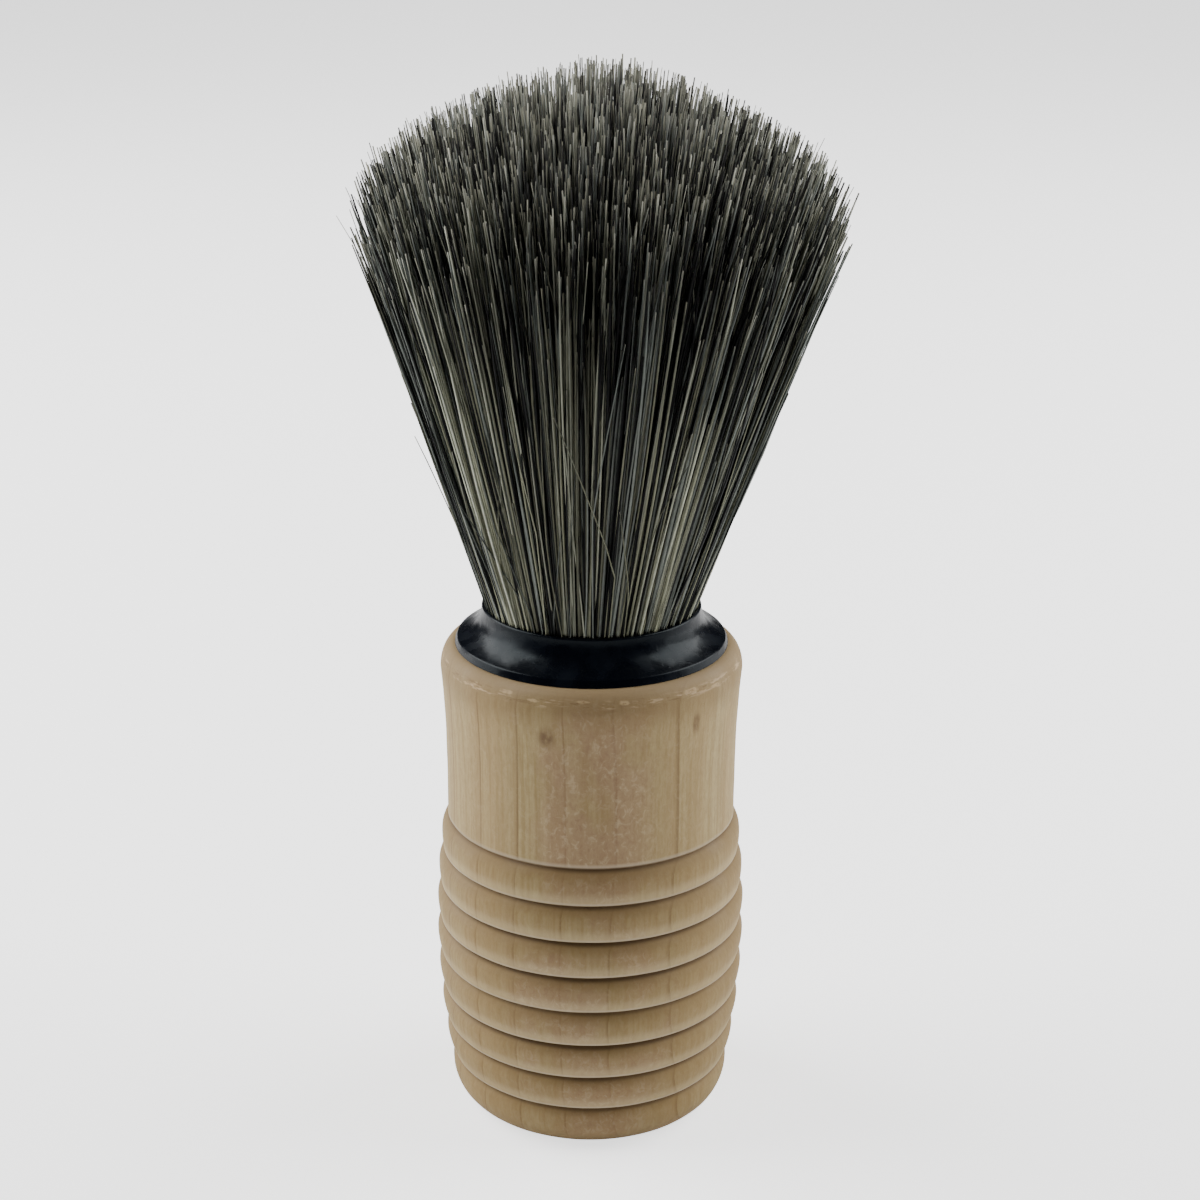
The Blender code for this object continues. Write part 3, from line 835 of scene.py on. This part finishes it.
def sideways(draws, angle, lock, soft, loose):
    """Offsets that take the hairs out of straight lines, each with how it grows from the mouth to the tip.

    soft picks the fine hairs, whose tips hook over, and loose picks the strays, which cross the others.
    """
    count = len(angle)
    lean_power, hook_power = 1.3, 5
    fine_hook, bent_part, bent_bow = 3.2, 0.08, 3.5
    tangent = np.zeros((count, 2))
    tangent[loose] = np.stack([-np.sin(angle), np.cos(angle)], axis=1)[loose]
    hooked = draws.normal(0.0, 0.30 * MM, (count, 2))
    hooked[soft] *= fine_hook
    bowed = draws.normal(0.0, 0.20 * MM, (count, 2))
    bowed[draws.random(count) < bent_part] *= bent_bow
    kink_at = draws.uniform(0.1, 0.7, (count, 1))
    lock_lean = draws.normal(0.0, 0.40 * MM, (lock.max() + 1, 2))[lock]
    own_lean = draws.normal(0.0, 0.30 * MM, (count, 2))
    slant = tangent * draws.normal(0.0, 1.8 * MM, (count, 1))
    kink = tangent * draws.normal(0.0, 5.5 * MM, (count, 1))
    return (
        (lock_lean, lambda rise: rise[None] ** lean_power),
        (own_lean, lambda rise: rise[None] ** lean_power),
        (bowed, lambda rise: np.sin(math.pi * rise)[None]),
        (hooked, lambda rise: rise[None] ** hook_power),
        (slant, lambda rise: rise[None]),
        (kink, lambda rise: np.clip(rise[None] - kink_at, 0.0, 1.0)),
    )


def build_hair():
    """The knot of mixed hair: whole hairs up to the dome, fine and shorter ones, and a few strays."""
    draws = np.random.default_rng(SEED + 2)
    share, angle, shorten = plant_hairs(draws)
    soft = slice(WHOLE_HAIRS, WHOLE_HAIRS + FINE_HAIRS)
    loose = slice(ALL_HAIRS - STRAY_HAIRS, ALL_HAIRS)
    lock = lock_numbers(share, angle)
    paths = hair_paths(share, angle, shorten, sideways(draws, angle, lock, soft, loose), lock)
    thickness = np.clip(draws.normal(HAIR_WIDTH, HAIR_WIDTH_SPREAD, ALL_HAIRS), *HAIR_WIDTH_LIMITS)
    thickness[loose] = STRAY_WIDTH
    thickness[soft] = FINE_WIDTH

    # about half of the hairs take their lock's tone, and pale tones are made more common at the left and the
    # right, where the side lights fall: painted light
    shared_part, lit_sides_paler = 0.55, 0.35
    own, shared = draws.random(ALL_HAIRS), draws.random(lock.max() + 1)[lock]
    pick = np.where(draws.random(ALL_HAIRS) < shared_part, shared, own)
    pick **= 1.0 - lit_sides_paler * np.cos(angle) ** 2
    pick[loose] = draws.uniform(0.5, 1.0, STRAY_HAIRS)
    pick[soft] = draws.uniform(0.2, 1.0, FINE_HAIRS)

    # each tone has its part of the hairs, its colours at the root, above it and at the tip, and its gloss;
    # frosted hairs are the black ones near the axis, so they have no part of their own
    black_root, black_band = (0.003, 0.0035, 0.0035), (0.002, 0.002, 0.002)
    tones = (
        ("black", 0.41, black_root, black_band, (0.010, 0.010, 0.008), 0.12),
        ("frosted", 0.0, black_root, black_band, (0.140, 0.137, 0.111), 0.12),
        ("olive", 0.26, (0.178, 0.181, 0.121), (0.094, 0.097, 0.070), (0.212, 0.208, 0.155), 0.3),
        ("grey", 0.21, (0.137, 0.151, 0.132), (0.085, 0.096, 0.085), (0.203, 0.207, 0.172), 0.3),
        ("pale", 0.12, (0.318, 0.328, 0.249), (0.225, 0.233, 0.182), (0.378, 0.374, 0.305), 0.3),
    )
    names = [tone[0] for tone in tones]
    number = np.searchsorted(np.cumsum([tone[1] for tone in tones]), pick, side="right")
    inner = share + draws.normal(0.0, FROSTED_SPREAD, ALL_HAIRS) < FROSTED_SHARE
    number[(number == names.index("black")) & inner] = names.index("frosted")
    for index, (tone, _, root, band, tip, gloss) in enumerate(tones):
        chosen = number == index
        material = hair_material(f"{tone}_hair", root, band, tip, gloss)
        piece = tubes(f"hair_{tone}", paths[chosen], thickness[chosen], material, draws)
        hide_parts("hair_knot")
        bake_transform(piece)


def finish_inner_pieces():
    """The CAD solids hidden inside keep their shapes and get their own materials."""
    for node, material in (
        ("binding_thread", thread_material()),
        ("resin_plug", resin_material()),
        ("glue_bed", glue_material()),
    ):
        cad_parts[node].data.materials.clear()
        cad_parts[node].data.materials.append(material)


make_camera()
make_studio()
build_handle()
build_collar()
build_hair()
finish_inner_pieces()
